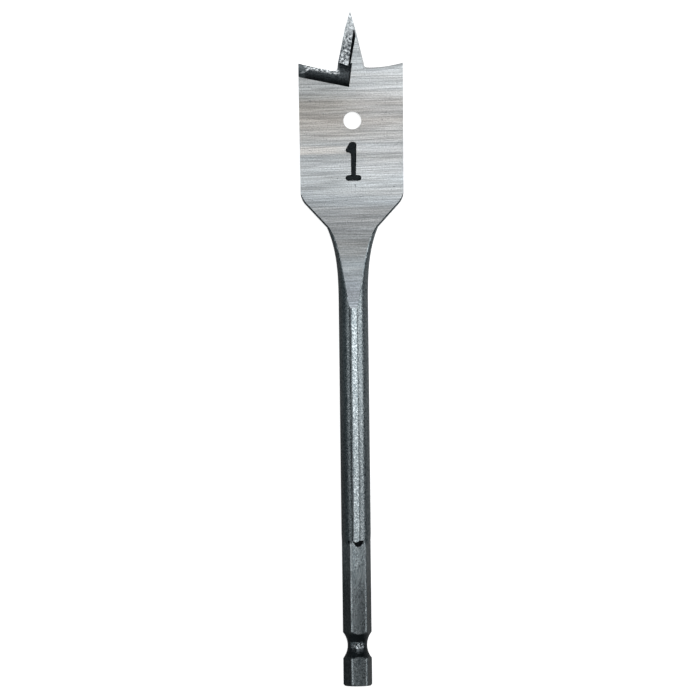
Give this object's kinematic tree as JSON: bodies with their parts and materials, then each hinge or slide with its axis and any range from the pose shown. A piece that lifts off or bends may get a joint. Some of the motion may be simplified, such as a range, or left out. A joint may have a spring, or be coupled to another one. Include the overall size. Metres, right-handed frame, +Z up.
{
  "type": "spade drill bit",
  "caption": "Flat spade bit for boring wood: hex shank with a locking notch, round shaft, flared neck, flat blade with a hanging hole, stamped size, raked wings and a centre point.",
  "frame": {"origin": "centre of the footprint of the lying bit, on the floor", "axes": "+Y along the bit from shank end to point, +Z up out of the blade's stamped front, +X across the blade"},
  "size_m": [0.0254, 0.1634, 0.0068],
  "materials": {
    "forged_steel": "ground bare steel on the blade and ramps, dark scaled forging skin on the shaft and shank"
  },
  "bodies": {
    "root": {"spade_bit": "forged_steel"}
  },
  "joints": []
}
